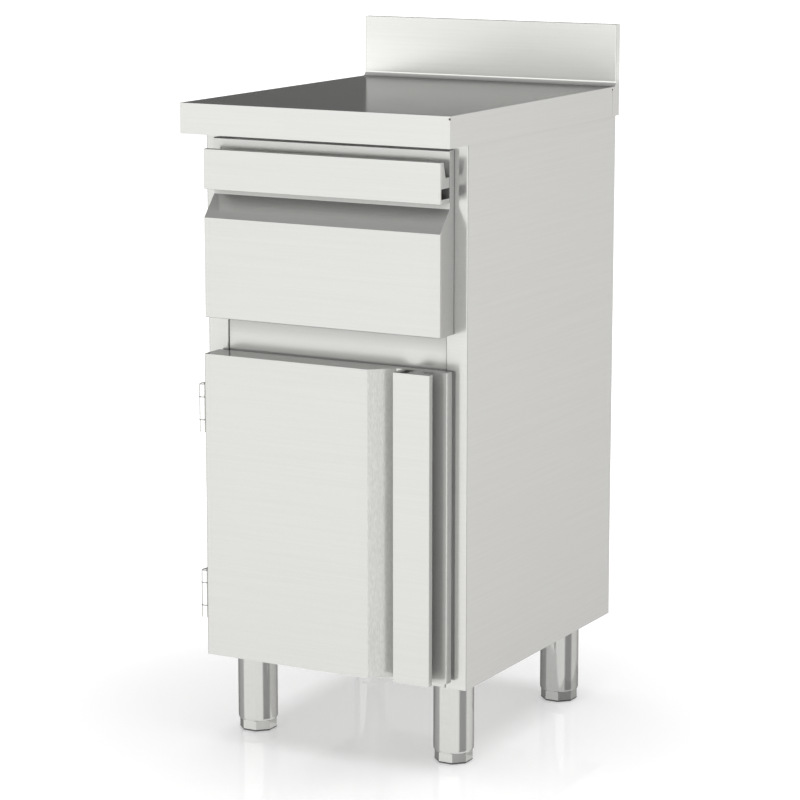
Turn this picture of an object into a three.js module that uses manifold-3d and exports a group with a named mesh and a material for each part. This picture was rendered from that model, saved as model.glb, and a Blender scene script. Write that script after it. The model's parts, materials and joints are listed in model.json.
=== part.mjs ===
// A waiter service station: a stainless back-bar cabinet with one drawer above one door, on four legs.
// Millimetres, +Z up. The front faces -Y, and the origin is on the floor below the middle of the worktop.
import * as THREE from "three";
import { mergeVertices } from "three/addons/utils/BufferGeometryUtils.js";
import Module from "manifold-3d";

const wasm = await Module();
wasm.setup();

// Worktop
const WORKTOP_WIDTH = 472;
const WORKTOP_DEPTH = 600;
const WORKTOP_HEIGHT = 1030;
const WORKTOP_SHEET = 1.5;
const SKIRT_HEIGHT = 48;
const SKIRT_RETURN = 15;
const UPSTAND_HEIGHT = 101;
const UPSTAND_DEPTH = 13;
const UPSTAND_CORNER = 2;
const COVE_RADIUS = 8;
const CAP_WIDTH = 26.5;
const RELIEF_RADIUS = 1.7;
const RELIEF_DROP = 4.2;
const SEAM_WIDTH = 0.5;
const SEAM_DEPTH = 0.6;
const STIFFENER_HEIGHT = 25;
const STIFFENER_CROWN = 40;
const STIFFENER_FLANGE = 15;
const STIFFENER_SPACING = 220;

// Body
const BODY_SHEET = 1.2;
const BODY_SIDE_INSET = 4.5;
const BODY_UNDERSIDE = 133.5;
const FRAME_SETBACK = 68;
const STILE_WIDTH = 37;
const STILE_LIP = 18;
const REAR_RETURN = 20;
const RAIL_DEPTH = 15;
const RAIL_SETBACK = 3;
const RAIL_OVERLAP = 12;
const BASE_HEIGHT = 42;
const BACK_RETURN = 18;

// Shelf
const SHELF_SHEET = 1.2;
const SHELF_EDGE = 20;
const SHELF_LEVEL = 240;
const SHELF_FRONT_GAP = 6;
const SHELF_REAR_GAP = 5;
const CLIP_SHEET = 2;
const CLIP_WIDTH = 24;
const CLIP_HEIGHT = 16;
const CLIP_REACH = 14;
const CLIP_INSET = 70;

// Drawer front and door, which share one folded section
const FRONT_MARGIN = 23.2;
const FRONT_TOP_GAP = 8.5;
const DRAWER_FRONT_HEIGHT = 281.1;
const RAIL_SHOWING = 56.8;
const DOOR_LIFT = 13;
const DRAWER_GAP = 0.8;
const DOOR_GAP = 5.8;
const FRONT_DEPTH = 45;
const RECESS_DEPTH = 30.5;
const SLANT_RUN = 34.5;
const FRONT_SHEET = 1.2;
const LINER_SHEET = 1;
const LINER_CLEAR = 1.5;
const GASKET_INSET = 3;
const GASKET_WIDTH = 10;
const GASKET_BASE = 2.4;
const GASKET_BEAD = 5;
const GASKET_SIDE_GAP = 1.5;

// Handle profile: a flat plate on a web and a foot, with a finger pocket behind its thick edge
const HANDLE_GAP = 10;
const HANDLE_HEIGHT = 63;
const HANDLE_EDGE = 15.5;
const HANDLE_PLATE = 4.5;
const HANDLE_LIP = 12;
const HANDLE_ROOT = 18;
const HANDLE_POCKET = 24;
const HANDLE_WEB = 16.7;
const HANDLE_FOOT = 7.2;

// Drawer box and its telescopic runners
const BOX_SHEET = 1.2;
const BOX_LIFT = 11.6;
const BOX_HEIGHT = 205;
const BOX_REAR_GAP = 70.4;
const BOX_HEM = 8;
const BOX_HEM_SHEET = 2.4;
const RUNNER_REAR_GAP = 2.8;
const RUNNER_HEIGHT = 45;
const RUNNER_THICKNESS = 12.7;
const RUNNER_SHEET = 1.2;
const RUNNER_MARGIN = 1;
const RUNNER_START = 4;
const RUNNER_LEVEL = 34;
const RUNNER_REACH = 10;
const SUPPORT_FOOT = 26;
const SUPPORT_REAR_GAP = 4;

// Hinges
const HINGE_HEIGHT = 77;
const HINGE_END_KNUCKLE = 20.5;
const HINGE_KNUCKLE_RADIUS = 7;
const HINGE_PIN_RADIUS = 3;
const HINGE_PIN_HEAD = 4.5;
const HINGE_PIN_HEAD_HEIGHT = 1.6;
const HINGE_DOOR_GAP = 0.7;
const HINGE_BACK = 9.1;
const HINGE_LEAF = 2.5;
const HINGE_DOOR_LEAF_DEPTH = 28;
const HINGE_FLANGE = 14;
const HINGE_TOP_INSET = 50.6;
const HINGE_BOTTOM_INSET = 59;

// Legs
const LEG_RADIUS = 32.25;
const LEG_WALL = 1.5;
const LEG_END_INSET = 2.4;
const LEG_END_HEIGHT = 4.5;
const LEG_SIDE_INSET = 16.05;
const LEG_FRONT_INSET = 5.25;
const LEG_REAR_INSET = 51.55;
const LEG_PLATE_MARGIN = 3.75;
const LEG_PLATE_SHEET = 3;
const LEG_PLATE_CORNER = 10;
const FOOT_INSET = 4.25;
const FOOT_HEIGHT = 17.4;
const FOOT_CHAMFER = 1.6;
const STEM_RADIUS = 8;
const STEM_LENGTH = 62;
const INSERT_HEIGHT = 30;

// Fits
const SEAT_GAP = 0.3;
const RUN_GAP = 0.4;
const FOLD_RADIUS = 1;
const FOLD_STEPS = 3;
const CURVE_STEPS = 6;
const ROLL_STEPS = 3;
const ROUND_STEPS = 32;
const SMALL_ROUND_STEPS = 20;

// Planes that several pieces share
const worktopFront = -WORKTOP_DEPTH / 2;
const skirtBottom = WORKTOP_HEIGHT - SKIRT_HEIGHT;
const bodyTop = WORKTOP_HEIGHT - WORKTOP_SHEET - SEAT_GAP;
const bodySide = WORKTOP_WIDTH / 2 - BODY_SIDE_INSET;
const bodyRear = WORKTOP_DEPTH / 2 - WORKTOP_SHEET - SEAT_GAP;
const sideInner = bodySide - BODY_SHEET;
const fillSide = sideInner - SEAT_GAP;
const frameFront = worktopFront + FRAME_SETBACK;
const lipRear = frameFront + STILE_LIP + SEAT_GAP;
const stileEdge = bodySide - STILE_WIDTH;
const railEnd = stileEdge - SEAT_GAP;
const backSide = sideInner - FOLD_RADIUS;
const backFace = bodyRear - BODY_SHEET - SEAT_GAP;
const backInner = backFace - BODY_SHEET - SEAT_GAP;
const floorTop = BODY_UNDERSIDE + BASE_HEIGHT;
const frontSide = bodySide - FRONT_MARGIN;
const drawerTop = skirtBottom - FRONT_TOP_GAP;
const drawerBottom = drawerTop - DRAWER_FRONT_HEIGHT;
const doorTop = drawerBottom - RAIL_SHOWING;
const doorBottom = BODY_UNDERSIDE + DOOR_LIFT;
const drawerBack = frameFront - DRAWER_GAP;
const doorBack = frameFront - DOOR_GAP;
const midRailTop = drawerBottom + RAIL_OVERLAP;
const runnerPlane = stileEdge - RUNNER_MARGIN;
const boxSide = runnerPlane - RUNNER_THICKNESS - SEAT_GAP;
const boxBottom = midRailTop + BOX_LIFT;
const runnerMiddle = boxBottom + RUNNER_LEVEL;

// Materials
const steel = () => new THREE.MeshStandardMaterial({ color: 0xd8d8d3, roughness: 0.28, metalness: 1 });
const zincSteel = () => new THREE.MeshStandardMaterial({ color: 0xb9bcbd, roughness: 0.38, metalness: 1 });
const rubber = () => new THREE.MeshStandardMaterial({ color: 0x8b8b88, roughness: 0.8, metalness: 0 });
const plastic = () => new THREE.MeshStandardMaterial({ color: 0x2b2c2e, roughness: 0.55, metalness: 0 });

// A closed three.js geometry as a solid that can be joined and cut.
function solidOf(geometry) {
  const bare = geometry.clone();
  bare.deleteAttribute("normal");
  bare.deleteAttribute("uv");
  const merged = mergeVertices(bare, 1e-4);
  const vertProperties = merged.attributes.position.array;
  const triVerts = new Uint32Array(merged.index.array);
  return new wasm.Manifold(new wasm.Mesh({ numProp: 3, vertProperties, triVerts }));
}

// A solid as a named mesh.
function meshOf(name, solid, material) {
  const { vertProperties, triVerts } = solid.getMesh();
  const geometry = new THREE.BufferGeometry();
  geometry.setAttribute("position", new THREE.BufferAttribute(vertProperties, 3));
  geometry.setIndex(new THREE.BufferAttribute(triVerts, 1));
  geometry.computeVertexNormals();
  const mesh = new THREE.Mesh(geometry, material);
  mesh.name = name;
  return mesh;
}

function block([x0, x1], [y0, y1], [z0, z1]) {
  const geometry = new THREE.BoxGeometry(x1 - x0, y1 - y0, z1 - z0);
  return solidOf(geometry.translate((x0 + x1) / 2, (y0 + y1) / 2, (z0 + z1) / 2));
}

// A section pushed along an axis: it is drawn in (y, z) for x, in (x, z) for y and in (x, y) for z.
function prism(axis, shape, [from, to]) {
  const options = { depth: to - from, bevelEnabled: false, curveSegments: CURVE_STEPS };
  const geometry = new THREE.ExtrudeGeometry(shape, options);
  const place = new THREE.Matrix4();
  if (axis === "x") place.set(0, 0, 1, from, 1, 0, 0, 0, 0, 1, 0, 0, 0, 0, 0, 1);
  if (axis === "y") place.set(1, 0, 0, 0, 0, 0, -1, to, 0, 1, 0, 0, 0, 0, 0, 1);
  if (axis === "z") place.makeTranslation(0, 0, from);
  return solidOf(geometry.applyMatrix4(place));
}

// A profile of (radius, height) points turned round the Z axis.
function turned(profile, steps, start = 0) {
  const points = profile.map(([radius, height]) => new THREE.Vector2(radius, height));
  return solidOf(new THREE.LatheGeometry(points, steps, start).rotateX(Math.PI / 2));
}

function rod(radius, [from, to], steps = SMALL_ROUND_STEPS) {
  const profile = [
    [0, from],
    [radius, from],
    [radius, to],
    [0, to],
  ];
  return turned(profile, steps);
}

function ring(inner, outer, [from, to], steps = SMALL_ROUND_STEPS) {
  const profile = [
    [inner, from],
    [outer, from],
    [outer, to],
    [inner, to],
    [inner, from],
  ];
  return turned(profile, steps);
}

// A corner as an arc of the given radius, appended to a list of points.
function appendArc(points, before, corner, after, radius) {
  const back = before.clone().sub(corner).normalize();
  const ahead = after.clone().sub(corner).normalize();
  const half = Math.acos(back.dot(ahead)) / 2;
  const middle = back.clone().add(ahead).normalize();
  const centre = corner.clone().addScaledVector(middle, radius / Math.sin(half));
  const reach = radius / Math.tan(half);
  const from = corner.clone().addScaledVector(back, reach).sub(centre);
  const to = corner.clone().addScaledVector(ahead, reach).sub(centre);
  const turn = Math.atan2(from.cross(to), from.dot(to));
  for (let step = 0; step <= FOLD_STEPS; step++) {
    const angle = (turn * step) / FOLD_STEPS;
    points.push(from.clone().rotateAround(new THREE.Vector2(), angle).add(centre));
  }
}

// The turn of a path at one of its inner points: positive to the left.
function turnAt(path, index) {
  const before = path[index].clone().sub(path[index - 1]);
  return before.cross(path[index + 1].clone().sub(path[index]));
}

// The path beside a path, at a signed distance to its left.
function offsetPath(path, distance) {
  const normals = path.slice(1).map((point, index) => {
    const along = point.clone().sub(path[index]).normalize();
    return new THREE.Vector2(-along.y, along.x);
  });
  return path.map((point, index) => {
    const before = normals[Math.max(index - 1, 0)];
    const after = normals[Math.min(index, normals.length - 1)];
    const mitre = before.clone().add(after).divideScalar(1 + before.dot(after));
    return point.clone().addScaledVector(mitre, distance);
  });
}

// An open path with its folds rounded: leftRadius where it turns left, rightRadius where it turns right.
function roundedPath(path, leftRadius, rightRadius) {
  const points = [path[0]];
  for (let index = 1; index < path.length - 1; index++) {
    const radius = turnAt(path, index) > 0 ? leftRadius : rightRadius;
    appendArc(points, path[index - 1], path[index], path[index + 1], radius);
  }
  points.push(path.at(-1));
  return points;
}

// The two faces of a folded sheet. The path is one face, and the sheet lies inside the path's first fold.
function sheetFaces(corners, sheet) {
  const path = corners.map(([u, v]) => new THREE.Vector2(u, v));
  const side = Math.sign(turnAt(path, 1));
  const inner = FOLD_RADIUS;
  const outer = FOLD_RADIUS + sheet;
  const radii = side > 0 ? [outer, inner] : [inner, outer];
  const face = roundedPath(path, ...radii);
  const back = roundedPath(offsetPath(path, side * sheet), ...radii.toReversed());
  return { face, back };
}

// The section of a folded sheet.
function foldedSheet(corners, sheet) {
  const { face, back } = sheetFaces(corners, sheet);
  return new THREE.Shape([...face, ...back.toReversed()]);
}

// A folded channel: its web at one place, its two flanges reaching from there to another.
function channel(web, reach, [low, high], sheet) {
  const corners = [
    [reach, low],
    [web, low],
    [web, high],
    [reach, high],
  ];
  return foldedSheet(corners, sheet);
}

// A box without one face, folded from sheet: the inside block runs out through the open face.
function tray(outer, open, sheet) {
  const inner = outer.map(([from, to]) => [from + sheet, to - sheet]);
  const [axis, end] = open;
  inner[axis][end] = outer[axis][end] + (end === 1 ? sheet : -sheet);
  return block(...outer).subtract(block(...inner));
}

const station = new THREE.Group();
station.name = "waiter_service_station";

// What is cut from one end of the worktop: the corner relief where its folds meet, the seam of the upstand's
// cap with a relief above it, and the upstand's rounded corner
function worktopCuts(side) {
  const half = WORKTOP_WIDTH / 2;
  const drill = rod(RELIEF_RADIUS, [-SKIRT_RETURN / 2, SKIRT_RETURN / 2]);
  const level = WORKTOP_HEIGHT - RELIEF_DROP;
  const corner = drill.rotate([90, 0, side * 45]).translate([side * half, worktopFront, level]);
  const seam = WORKTOP_DEPTH / 2 - CAP_WIDTH;
  const relief = drill.rotate([0, 90, 0]).translate([side * half, seam, level]);
  const across = (from, to) => (side > 0 ? [from, to] : [-to, -from]);
  const groove = block(
    across(half - SEAM_DEPTH, half + SEAM_DEPTH),
    [seam - SEAM_WIDTH / 2, seam + SEAM_WIDTH / 2],
    [skirtBottom - SEAM_DEPTH, level],
  );
  const face = WORKTOP_DEPTH / 2 - UPSTAND_DEPTH;
  const heights = [WORKTOP_HEIGHT + COVE_RADIUS, WORKTOP_HEIGHT + UPSTAND_HEIGHT + UPSTAND_CORNER];
  const edge = block(
    across(half - UPSTAND_CORNER, half + UPSTAND_CORNER),
    [face - UPSTAND_CORNER, face + UPSTAND_CORNER],
    heights,
  );
  const middle = [side * (half - UPSTAND_CORNER), face + UPSTAND_CORNER, 0];
  const rounding = edge.subtract(rod(UPSTAND_CORNER, heights).translate(middle));
  return corner.add(relief).add(groove).add(rounding);
}

// Worktop: an upside-down tray with a coved, hollow upstand along its rear edge
function worktop() {
  const half = WORKTOP_WIDTH / 2;
  const top = WORKTOP_HEIGHT + UPSTAND_HEIGHT;
  const outline = (inset, low) => {
    const rear = WORKTOP_DEPTH / 2 - inset;
    const face = WORKTOP_DEPTH / 2 - UPSTAND_DEPTH + inset;
    const cove = COVE_RADIUS + inset;
    const deck = WORKTOP_HEIGHT - inset;
    const shape = new THREE.Shape();
    shape.moveTo(worktopFront + inset, low);
    shape.lineTo(rear, low);
    shape.lineTo(rear, top - inset);
    shape.lineTo(face, top - inset);
    shape.lineTo(face, deck + cove);
    shape.absarc(face - cove, deck + cove, cove, 0, -Math.PI / 2, true);
    shape.lineTo(worktopFront + inset, deck);
    return shape;
  };
  const inside = half - WORKTOP_SHEET;
  const lowest = skirtBottom - WORKTOP_SHEET;
  const outer = prism("x", outline(0, skirtBottom), [-half, half]);
  const hollow = prism("x", outline(WORKTOP_SHEET, lowest), [-inside, inside]);
  const returnFront = worktopFront + WORKTOP_SHEET;
  const skirtReturn = block(
    [-inside, inside],
    [returnFront - WORKTOP_SHEET / 2, worktopFront + SKIRT_RETURN],
    [skirtBottom, skirtBottom + WORKTOP_SHEET],
  );
  const blank = outer.subtract(hollow).add(skirtReturn);
  return [-1, 1].reduce((solid, side) => solid.subtract(worktopCuts(side)), blank);
}
station.add(meshOf("worktop", worktop(), steel()));

// Two hat-shaped stiffeners under the worktop
for (const [name, y] of [
  ["worktop_stiffener_front", -STIFFENER_SPACING / 2],
  ["worktop_stiffener_rear", STIFFENER_SPACING / 2],
]) {
  const crown = STIFFENER_CROWN / 2;
  const foot = crown + STIFFENER_FLANGE;
  const low = bodyTop - STIFFENER_HEIGHT;
  const corners = [
    [y - foot, bodyTop],
    [y - crown, bodyTop],
    [y - crown, low],
    [y + crown, low],
    [y + crown, bodyTop],
    [y + foot, bodyTop],
  ];
  const section = foldedSheet(corners, BODY_SHEET);
  station.add(meshOf(name, prism("x", section, [-fillSide, fillSide]), steel()));
}

// Side panels: each folds round the front as a stile with a lip, and round the rear as a return
for (const [name, side] of [
  ["left_side_panel", -1],
  ["right_side_panel", 1],
]) {
  const corners = [
    [side * stileEdge, frameFront + STILE_LIP],
    [side * stileEdge, frameFront],
    [side * bodySide, frameFront],
    [side * bodySide, bodyRear],
    [side * (bodySide - REAR_RETURN), bodyRear],
  ];
  const section = foldedSheet(corners, BODY_SHEET);
  station.add(meshOf(name, prism("z", section, [BODY_UNDERSIDE, bodyTop]), steel()));
}

// Back panel, with a return under the worktop
const backSection = foldedSheet(
  [
    [backFace - BACK_RETURN, bodyTop],
    [backFace, bodyTop],
    [backFace, BODY_UNDERSIDE],
  ],
  BODY_SHEET,
);
station.add(meshOf("back_panel", prism("x", backSection, [-backSide, backSide]), steel()));

// Cross rails between the stiles: the middle one is set back a little, the others are flush
const rails = [
  ["top_rail", frameFront, drawerTop - RAIL_OVERLAP, bodyTop],
  ["middle_rail", frameFront + RAIL_SETBACK, doorTop - RAIL_OVERLAP, midRailTop],
  ["bottom_rail", frameFront, BODY_UNDERSIDE, floorTop],
];
for (const [name, face, low, high] of rails) {
  const section = channel(face, face + RAIL_DEPTH, [low, high], BODY_SHEET);
  station.add(meshOf(name, prism("x", section, [-railEnd, railEnd]), steel()));
}

// Floor pan of the cupboard: an upside-down tray that the legs are fixed under
const floorPan = tray(
  [
    [-fillSide, fillSide],
    [lipRear, backInner],
    [BODY_UNDERSIDE, floorTop],
  ],
  [2, 0],
  BODY_SHEET,
);
station.add(meshOf("floor_pan", floorPan, steel()));

// Shelf with folded edges, loose on four clips
const shelfTop = floorTop + SHELF_LEVEL;
const shelfSide = fillSide - CLIP_SHEET - FOLD_RADIUS;
const shelfFront = lipRear + SHELF_FRONT_GAP;
const shelfRear = backInner - SHELF_REAR_GAP;
const shelf = tray(
  [
    [-shelfSide, shelfSide],
    [shelfFront, shelfRear],
    [shelfTop - SHELF_EDGE, shelfTop],
  ],
  [2, 0],
  SHELF_SHEET,
);
station.add(meshOf("shelf", shelf, steel()));

for (const [depthName, y] of [
  ["front", shelfFront + CLIP_INSET],
  ["rear", shelfRear - CLIP_INSET],
]) {
  for (const [sideName, side] of [
    ["left", -1],
    ["right", 1],
  ]) {
    const seat = shelfTop - SHELF_EDGE - SEAT_GAP - CLIP_SHEET;
    const corners = [
      [side * fillSide, seat + CLIP_HEIGHT],
      [side * fillSide, seat],
      [side * (fillSide - CLIP_REACH), seat],
    ];
    const section = foldedSheet(corners, CLIP_SHEET);
    const clip = prism("y", section, [y - CLIP_WIDTH / 2, y + CLIP_WIDTH / 2]);
    station.add(meshOf(`shelf_clip_${depthName}_${sideName}`, clip, zincSteel()));
  }
}

// Legs: a tube with a rolled-in end and a top plate, a threaded insert, and an eight-sided screw foot
function legTube(top) {
  const bore = LEG_RADIUS - LEG_WALL;
  const low = FOOT_HEIGHT + SEAT_GAP;
  const rolled = (radius) =>
    Array.from({ length: ROLL_STEPS + 1 }, (_, step) => {
      const angle = (step * Math.PI) / (2 * ROLL_STEPS);
      const inset = LEG_END_INSET * (1 - Math.sin(angle));
      return [radius - inset, low + LEG_END_HEIGHT * (1 - Math.cos(angle))];
    });
  const outside = [...rolled(LEG_RADIUS), [LEG_RADIUS, top]];
  const inside = [...rolled(bore), [bore, top]];
  const tube = turned([...outside, ...inside.toReversed(), outside[0]], ROUND_STEPS);
  const plate = new THREE.Shape();
  const half = LEG_RADIUS + LEG_PLATE_MARGIN;
  const straight = half - LEG_PLATE_CORNER;
  plate.absarc(straight, straight, LEG_PLATE_CORNER, 0, Math.PI / 2);
  plate.absarc(-straight, straight, LEG_PLATE_CORNER, Math.PI / 2, Math.PI);
  plate.absarc(-straight, -straight, LEG_PLATE_CORNER, Math.PI, 1.5 * Math.PI);
  plate.absarc(straight, -straight, LEG_PLATE_CORNER, 1.5 * Math.PI, 2 * Math.PI);
  return tube.add(prism("z", plate, [top - LEG_PLATE_SHEET, top]));
}

function legInsert() {
  const low = FOOT_HEIGHT + SEAT_GAP + LEG_END_HEIGHT + SEAT_GAP;
  const outer = LEG_RADIUS - LEG_WALL - SEAT_GAP;
  return ring(STEM_RADIUS + RUN_GAP, outer, [low, low + INSERT_HEIGHT], ROUND_STEPS);
}

function screwFoot() {
  const corner = (LEG_RADIUS - FOOT_INSET) / Math.cos(Math.PI / 8);
  const body = [
    [0, 0],
    [corner - FOOT_CHAMFER, 0],
    [corner, FOOT_CHAMFER],
    [corner, FOOT_HEIGHT],
    [0, FOOT_HEIGHT],
  ];
  const stem = rod(STEM_RADIUS, [FOOT_HEIGHT / 2, FOOT_HEIGHT + STEM_LENGTH]);
  return turned(body, 8, Math.PI / 8).add(stem);
}

// The insets run from the floor pan's flanges to the tubes
const flangeAndLeg = BODY_SHEET + LEG_RADIUS;
const legX = fillSide - flangeAndLeg - LEG_SIDE_INSET;
const legFront = lipRear + flangeAndLeg + LEG_FRONT_INSET;
const legRear = backInner - flangeAndLeg - LEG_REAR_INSET;
for (const [name, x, y] of [
  ["front_left", -legX, legFront],
  ["front_right", legX, legFront],
  ["rear_left", -legX, legRear],
  ["rear_right", legX, legRear],
]) {
  const leg = new THREE.Group();
  leg.position.set(x, y, 0);
  leg.add(meshOf(`leg_tube_${name}`, legTube(floorTop - BODY_SHEET - SEAT_GAP), steel()));
  leg.add(meshOf(`leg_insert_${name}`, legInsert(), plastic()));
  leg.add(meshOf(`foot_${name}`, screwFoot(), steel()));
  station.add(leg);
}

// The folded outline that the door and the drawer front share: along the front from its plain edge,
// and out from its back. A slanted fold leads down to the recess that carries the handle.
const recessRun = HANDLE_GAP + HANDLE_HEIGHT + HANDLE_EDGE;
const recessOut = FRONT_DEPTH - RECESS_DEPTH;
function frontOutline(length) {
  const recess = length - recessRun;
  return [
    [0, 0],
    [0, FRONT_DEPTH],
    [recess - SLANT_RUN, FRONT_DEPTH],
    [recess, recessOut],
    [length, recessOut],
    [length, 0],
  ];
}

// The outer skin, folded from one sheet and closed by an end plate at each end
function frontSkin(length, width) {
  const outline = frontOutline(length);
  const half = width / 2;
  const skin = prism("z", foldedSheet(outline, FRONT_SHEET), [-half, half]);
  const end = new THREE.Shape(sheetFaces(outline, FRONT_SHEET).face);
  const first = prism("z", end, [-half, FRONT_SHEET - half]);
  const second = prism("z", end, [half - FRONT_SHEET, half]);
  return skin.add(first).add(second);
}

// The liner, a shallow pan that closes the back of the skin
function frontLiner(length, width) {
  const margin = FRONT_SHEET + SEAT_GAP;
  const depth = recessOut - FRONT_SHEET - LINER_CLEAR;
  const outer = [
    [margin, length - margin],
    [0, depth],
    [margin - width / 2, width / 2 - margin],
  ];
  return tray(outer, [1, 1], LINER_SHEET);
}

// The handle profile: its thick edge, its pocket, its web and its foot, in the same frame as the outline
function frontHandle(length, width) {
  const edge = length - HANDLE_EDGE;
  const webTop = edge - HANDLE_POCKET;
  const webBottom = webTop - HANDLE_WEB;
  const footBottom = edge - HANDLE_HEIGHT;
  const footTop = footBottom + HANDLE_FOOT;
  const base = recessOut + SEAT_GAP;
  const section = new THREE.Shape();
  section.moveTo(edge, FRONT_DEPTH);
  section.lineTo(edge, FRONT_DEPTH - HANDLE_LIP);
  section.lineTo(webTop, FRONT_DEPTH - HANDLE_ROOT);
  section.lineTo(webTop, base);
  section.lineTo(webBottom, base);
  section.lineTo(webBottom, FRONT_DEPTH - HANDLE_PLATE);
  section.lineTo(footTop, FRONT_DEPTH - HANDLE_PLATE);
  section.lineTo(footTop, base);
  section.lineTo(footBottom, base);
  section.lineTo(footBottom, FRONT_DEPTH);
  return prism("z", section, [-width / 2, width / 2]);
}

// One front of three pieces
function addFront(group, name, length, width) {
  group.add(meshOf(`${name}_skin`, frontSkin(length, width), steel()));
  group.add(meshOf(`${name}_liner`, frontLiner(length, width), steel()));
  group.add(meshOf(`${name}_handle`, frontHandle(length, width), steel()));
}

const AXIS_X = new THREE.Vector3(1, 0, 0);
const AXIS_Y = new THREE.Vector3(0, 1, 0);
const AXIS_Z = new THREE.Vector3(0, 0, 1);

// Door: the outline runs from the hinge side to the right
const doorWidth = 2 * frontSide;
const doorHeight = doorTop - doorBottom;
const door = new THREE.Group();
const doorTurn = new THREE.Matrix4().makeBasis(AXIS_X, AXIS_Y.clone().negate(), AXIS_Z.clone().negate());
door.setRotationFromMatrix(doorTurn);
door.position.set(-frontSide, doorBack, (doorTop + doorBottom) / 2);
addFront(door, "door", doorWidth, doorHeight);
station.add(door);

// Door gasket: a flat base against the liner and a bead towards the frame. Between the stiles the top
// of the bead is deeper, to reach the middle rail.
function gasket() {
  const flat = (inset, back, front) => {
    const half = doorHeight / 2 - inset;
    return block([inset, doorWidth - inset], [back, front], [-half, half]);
  };
  const beadInset = GASKET_INSET + (GASKET_WIDTH - GASKET_BEAD) / 2;
  const beadInside = beadInset + GASKET_BEAD;
  const rear = SEAT_GAP - DOOR_GAP;
  const base = -SEAT_GAP - GASKET_BASE;
  const frame = flat(GASKET_INSET, base, -SEAT_GAP).add(flat(beadInset, rear, base));
  const inside = flat(GASKET_INSET + GASKET_WIDTH, base - GASKET_BASE, 0);
  const lipSide = stileEdge - GASKET_SIDE_GAP;
  const lipTop = doorHeight / 2 - beadInset;
  const lip = block(
    [frontSide - lipSide, frontSide + lipSide],
    [rear - RAIL_SETBACK, base],
    [-lipTop, GASKET_BEAD - lipTop],
  );
  return frame.subtract(inside).subtract(flat(beadInside, rear - SEAT_GAP, base)).add(lip);
}
door.add(meshOf("door_gasket", gasket(), rubber()));

// Drawer: the outline runs upwards, so that the handle is along the top
const drawer = new THREE.Group();
const drawerTurn = new THREE.Matrix4().makeBasis(AXIS_Z, AXIS_Y.clone().negate(), AXIS_X);
drawer.setRotationFromMatrix(drawerTurn);
drawer.position.set(0, drawerBack, drawerBottom);
addFront(drawer, "drawer_front", DRAWER_FRONT_HEIGHT, doorWidth);
station.add(drawer);

// Drawer box against the back of the front's liner: two sides, an inner front, a rear and a floor,
// of flat sheet with a hem along the rim
const boxFront = drawerBack + SEAT_GAP;
const boxRear = backInner - BOX_REAR_GAP;
const boxTop = boxBottom + BOX_HEIGHT;
const hemBottom = boxTop - BOX_HEM;
const between = (from, to) => [Math.min(from, to), Math.max(from, to)];

for (const [name, side] of [
  ["drawer_side_left", -1],
  ["drawer_side_right", 1],
]) {
  const across = (sheet) => between(side * boxSide, side * (boxSide - sheet));
  const wall = block(across(BOX_SHEET), [boxFront, boxRear], [boxBottom, boxTop]);
  const hem = block(across(BOX_HEM_SHEET), [boxFront, boxRear], [hemBottom, boxTop]);
  station.add(meshOf(name, wall.add(hem), steel()));
}

// Between the sides, and between their hems at the rim
const inSides = (sheet) => [sheet + SEAT_GAP - boxSide, boxSide - sheet - SEAT_GAP];
for (const [name, face, inward] of [
  ["drawer_inner_front", boxFront, 1],
  ["drawer_rear", boxRear, -1],
]) {
  const deep = (sheet) => between(face, face + inward * sheet);
  const wall = block(inSides(BOX_SHEET), deep(BOX_SHEET), [boxBottom, hemBottom - SEAT_GAP]);
  const rim = block(inSides(BOX_HEM_SHEET), deep(BOX_SHEET), [boxBottom, boxTop]);
  const hem = block(inSides(BOX_HEM_SHEET), deep(BOX_HEM_SHEET), [hemBottom, boxTop]);
  station.add(meshOf(name, wall.add(rim).add(hem), steel()));
}

const boxFloor = block(
  inSides(BOX_SHEET),
  [boxFront + BOX_SHEET + SEAT_GAP, boxRear - BOX_SHEET - SEAT_GAP],
  [boxBottom, boxBottom + BOX_SHEET],
);
station.add(meshOf("drawer_floor", boxFloor, steel()));

// Runners: three channels that nest in one another, and the bracket that carries them
const runnerSpan = [frameFront + RUNNER_START, boxRear - RUNNER_REAR_GAP];
const nest = RUNNER_SHEET + RUN_GAP;
for (const [name, side] of [
  ["left", -1],
  ["right", 1],
]) {
  const member = (web, reach, inset) => {
    const half = RUNNER_HEIGHT / 2 - inset;
    const across = (inward) => side * (runnerPlane - inward);
    const heights = [runnerMiddle - half, runnerMiddle + half];
    return prism("y", channel(across(web), across(reach), heights, RUNNER_SHEET), runnerSpan);
  };
  const outer = member(0, RUNNER_REACH, 0);
  const middle = member(nest, RUNNER_REACH + RUN_GAP, nest);
  const inner = member(RUNNER_THICKNESS, 2 * nest + RUN_GAP, 2 * nest);
  station.add(meshOf(`runner_outer_${name}`, outer, zincSteel()));
  station.add(meshOf(`runner_middle_${name}`, middle, zincSteel()));
  station.add(meshOf(`runner_inner_${name}`, inner, zincSteel()));
  const near = side * (runnerPlane + SEAT_GAP);
  const far = side * fillSide;
  const corners = [
    [near, runnerMiddle - RUNNER_HEIGHT / 2],
    [near, runnerMiddle + RUNNER_HEIGHT / 2],
    [far, runnerMiddle + RUNNER_HEIGHT / 2],
    [far, runnerMiddle + RUNNER_HEIGHT / 2 - SUPPORT_FOOT],
  ];
  const support = prism("y", foldedSheet(corners, BODY_SHEET), [lipRear, backInner - SUPPORT_REAR_GAP]);
  station.add(meshOf(`runner_support_${name}`, support, zincSteel()));
}

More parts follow.
